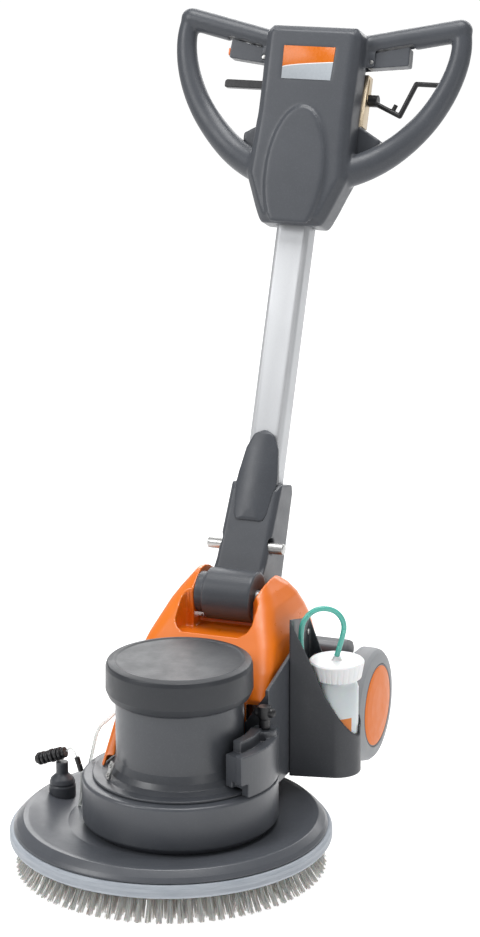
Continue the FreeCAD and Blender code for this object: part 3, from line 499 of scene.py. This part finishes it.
stand_in(lathe("deck_shell", [
    (30, 58), (126, 58), (192, 66), (203, 56), (203, 40), (208, 40), (208, 57), (214, 57), (214, 59),
    (210, 64), (201, 72), (194, 71.5), (140, 62), (30, 62), (30, 58)], 3.5, turns=256), "brush_housing")
stand_in(lathe("bumper_band", [
    (208, 45), (208, 38), (217, 38), (220, 42), (219.2, 47), (220, 52), (217, 56), (208, 56), (208, 45)],
    2.0, turns=256), "bumper_ring")


TUFT_RINGS = 9
TUFT_GAP = 0.0128                               # from tuft to tuft along a ring, at the board
STRAND_STEPS = 3


def strand_line(root, tip, out, side, lean, top, end):
    """Points (radius, across, z) down one filament, which bows outwards on its way to the floor."""
    line = []
    for step in range(STRAND_STEPS + 1):
        t = step / STRAND_STEPS
        bow = t ** 1.3
        start = root + out * 0.0026
        radius = start + (tip + out * 0.0042 - start) * bow
        across = side * (0.0026 + 0.0023 * bow) + lean * bow
        line.append(Vector((min(radius, TUFT_REACH), across, top + (end - top) * t)))
    return line


def add_strand(bm, line, angle, spin, thick):
    """Three-sided filament down the line, turned to its place round the brush; it thins to the tip."""
    rings = []
    for step, place in enumerate(line):
        place.rotate(Matrix.Rotation(angle, 3, "Z"))
        fat = thick * (1.0 - 0.35 * step / STRAND_STEPS)
        turns = [spin + 2 * math.pi * k / 3 for k in range(3)]
        corners = [place + Vector((fat * math.cos(turn), fat * math.sin(turn), 0)) for turn in turns]
        rings.append([bm.verts.new(corner) for corner in corners])
    for a, b in zip(rings, rings[1:]):
        for k in range(3):
            bm.faces.new((a[k], a[(k + 1) % 3], b[(k + 1) % 3], b[k]))
    bm.faces.new(rings[-1])
    bm.faces.new(rings[0][::-1])


low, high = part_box("bristles")
TUFT_TOP = high.z
TUFT_REACH = (high.x - low.x) / 2 - 0.0015
low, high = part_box("brush_block")
TUFT_ROOT = (high.x - low.x) / 2 - 0.006


def tufts():
    """Rings of bristle tufts, each a bunch of filaments; the outer rings lean outwards."""
    rng = random.Random(7)
    bm = bmesh.new()
    for ring in range(TUFT_RINGS):
        root = TUFT_ROOT - 0.0122 * ring
        tip = TUFT_REACH - 0.0055 - 0.0138 * ring
        count = int(2 * math.pi * root / TUFT_GAP)
        strands = 30 if ring == 0 else 18 if ring < 3 else 9
        uneven = 0.0018 if ring else 0.0009
        for n in range(count):
            angle = 2 * math.pi * (n + 0.5 * (ring % 2) + rng.uniform(-0.06, 0.06)) / count
            lean = rng.uniform(-0.0007, 0.0007)
            for _ in range(strands):
                spin = rng.uniform(0, 2 * math.pi)
                wide = math.sqrt(rng.random())
                thick = rng.uniform(0.0006, 0.00085)
                end = rng.uniform(0.0, uneven)
                line = strand_line(root, tip, wide * math.cos(spin), wide * math.sin(spin), lean,
                                   TUFT_TOP, end)
                add_strand(bm, line, angle, spin, thick)
    return as_piece("bristle_tufts", bm, 180)


stand_in(tufts(), "bristles")


# ---- motor --------------------------------------------------------------------------
stand_in(lathe("motor_shell", [
    (0, 131), (119, 131), (119, 135), (106, 136), (96, 140), (90, 147), (86.9, 158), (86.9, 241.8),
    (0, 241.8)], 3.0, HUB, turns=256), "motor_housing")
stand_in(lathe("cap_shell", [
    (0, 241.8), (86.9, 241.8), (86.9, 240.8), (95.8, 244.8), (99.8, 254.8), (99.3, 286), (97.3, 291.6),
    (87.8, 294.2), (84.5, 292.8), (0, 292.8)], 3.0, HUB, turns=256), "motor_cap")


# ---- mouldings and castings ---------------------------------------------------------
MOULDINGS = {                                   # mesh size in millimetres, and rounds of smoothing
    "gear_case": (1.6, 4), "hood": (1.5, 10), "fender": (1.4, 6), "clamp_bracket": (1.0, 6),
    "clamp_knob": (0.7, 8), "bottle_holder": (1.2, 3), "joint_casting": (1.3, 8),
    "tongue_cover": (0.9, 26), "head_front": (1.6, 24), "head_back": (1.6, 16),
    "trigger_left": (0.8, 6), "trigger_right": (0.8, 6),
    "safety_button": (0.5, 4), "release_lever": (0.7, 5), "spray_lever": (0.6, 4), "spray_plug": (0.6, 2),
    "inlet_neck": (0.8, 4), "hose_plug": (0.6, 4), "cable_gland": (0.7, 3), "inline_valve": (0.4, 3),
}
for node, (voxel, passes) in MOULDINGS.items():
    softened(node, voxel, passes)


def tray_arrow():
    """Raised arrow, pointing down, on the curved left end of the hood's tray."""
    bm = bmesh.new()
    columns = []
    for n in range(41):
        x = -55.0 + 0.25 * n                    # from the mid-plane; the arrow's middle is at -50
        off = abs(x + 50.0)
        wall = min(160.0, 148.0 + math.sqrt(max(0.0, 17.0 ** 2 - (x + 39.0) ** 2)))
        low, high = 300.0 + 1.5 * off, 334.0 if off < 2.3 else 310.5
        columns.append([bm.verts.new((MOTOR_X + x * MM, y * MM, z * MM)) for y, z in (
            (wall + 0.5, low), (wall - 0.9, low + 0.4), (wall - 0.9, high - 0.4), (wall + 0.5, high))])
    for a, b in zip(columns, columns[1:]):
        for k in range(4):
            bm.faces.new((a[k], b[k], b[(k + 1) % 4], a[(k + 1) % 4]))
    bm.faces.new(columns[0])
    bm.faces.new(columns[-1][::-1])
    bmesh.ops.recalc_face_normals(bm, faces=bm.faces)
    return as_piece("tray_arrow", bm, 30)


arrow = tray_arrow()
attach(arrow, BODY_OF["hood"])
arrow.data.materials.append(paint("hood"))


# ---- bottle cap ---------------------------------------------------------------------
def cap_ribs(r, z, angle):
    """Grip ribs on the skirt of the cap, none on its top."""
    on_skirt = r >= 33 and z <= 253.5
    return r - 0.9 * abs(math.sin(14 * angle)) ** 8 if on_skirt else r


CAP_AXIS = (centre_of("bottle_cap").x / MM, centre_of("bottle_cap").y / MM)
stand_in(lathe("cap_moulding", [
    (0, 252), (27, 252), (27, 231), (33.5, 231), (34.5, 232), (38.5, 254), (36.5, 256), (34, 256),
    (33, 255.2), (7.5, 255.2), (6.5, 256.5), (5.5, 258), (5.5, 261), (3.2, 261), (3.2, 256), (0, 256)],
    0.9, CAP_AXIS, turns=336, shape=cap_ribs), "bottle_cap")


# ---- wheels -------------------------------------------------------------------------
def sideways(piece, node):
    """Lays a lathed piece on its side, its top facing out, at the node's place."""
    low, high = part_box(node)
    side = 1 if low.x > MOTOR_X else -1
    inner = low.x if side > 0 else high.x
    piece.data.transform(Matrix.Translation((inner, AXLE.y, AXLE.z)) @ turned_by(90 * side, "Y"))
    stand_in(piece, node)


TYRE_OUTLINE = [
    (20, 0), (60.6, 0), (74, 0), (82, 8), (82, 12.0), (81.4, 12.8), (82, 13.6), (82, 25), (80.5, 31),
    (76, 35.5), (62.6, 38), (60.6, 38), (60.6, 34), (20, 34), (20, 31.5), (10.05, 31.5), (10.05, 0),
    (20, 0)]
DISC_OUTLINE = [(0, 0), (60.2, 0), (60.2, 3.3), (58.6, 3.8), (57.6, 3.2), (56.6, 3.9), (50, 5.0),
                (34, 6.4), (16, 6.8), (0, 6.8)]
for side in ("left", "right"):
    sideways(lathe("tyre_" + side, TYRE_OUTLINE, 2.5, turns=192), "wheel_" + side)
    sideways(lathe("disc_" + side, DISC_OUTLINE, 1.2, turns=192), "hub_disc_" + side)


# ---- CAD nodes that stay, with their own materials ----------------------------------
def crisp(node, width):
    """A small bevel on the node's hard edges, so that they catch the light."""
    piece = frame["nodes"][node]
    weld(piece)
    bevel = piece.modifiers.new("bevel", "BEVEL")
    bevel.width = width * MM
    bevel.segments = 2
    bevel.limit_method = "ANGLE"
    bevel.angle_limit = math.radians(35)
    bevel.harden_normals = True


for node, piece in frame["nodes"].items():
    piece.data.materials.clear()
    piece.data.materials.append(paint(node))
    piece.data.shade_smooth()
for node in ("handle_tube", "axle", "chassis_frame", "bottle"):
    crisp(node, 0.5)
for node in ("pivot_pin", "side_plate", "lever_pins", "lock_rod", "holder_screws", "riveted_tab",
             "label_plate"):
    crisp(node, 0.25)
for node, piece in CORDS.items():
    stand_in(piece, node)


# ---- studio -------------------------------------------------------------------------
FLOOR_HALF = 40.0


def floor():
    mesh = bpy.data.meshes.new("floor")
    corners = [(x * FLOOR_HALF, y * FLOOR_HALF, 0) for x, y in ((-1, -1), (1, -1), (1, 1), (-1, 1))]
    mesh.from_pydata(corners, [], [(0, 1, 2, 3)])
    piece = linked("floor", mesh)
    s = Shader("pale_floor", Roughness=0.8, Emission_Color=rgb(1, 1, 1), Emission_Strength=0.88)
    s.put("Base Color", s.blend(s.noise(3, 3), rgb(0.44, 0.44, 0.44), rgb(0.46, 0.46, 0.46)))
    mesh.materials.append(s.material)
    piece.location.z = -0.5 * MM                # clear of the wheels and bristles


def softbox(name, place, target, size, power):
    data = bpy.data.lights.new(name, "AREA")
    data.shape = "RECTANGLE"
    data.size, data.size_y = size
    data.energy = power
    light = linked(name, data)
    light.location = place
    light.rotation_euler = (Vector(target) - Vector(place)).to_track_quat("-Z", "Y").to_euler()


floor()
softbox("key", (-2.4, -2.2, 2.9), (0.0, 0.1, 0.4), (1.4, 2.2), 62)
softbox("fill", (3.0, -2.0, 1.2), (0.0, 0.1, 0.5), (1.2, 1.6), 9)
softbox("top", (0.0, 0.3, 3.4), (0.0, 0.1, 0.3), (2.0, 1.6), 80)
softbox("back", (-0.6, 3.6, 2.3), (0.0, 0.1, 0.5), (5.0, 2.4), 120)
world = bpy.data.worlds.new("studio")
world.use_nodes = True
world.node_tree.nodes["Background"].inputs["Color"].default_value = (1, 1, 1, 1)
world.node_tree.nodes["Background"].inputs["Strength"].default_value = 0.32
scene.world = world
scene.view_settings.view_transform = "Standard"

bpy.context.view_layer.update()
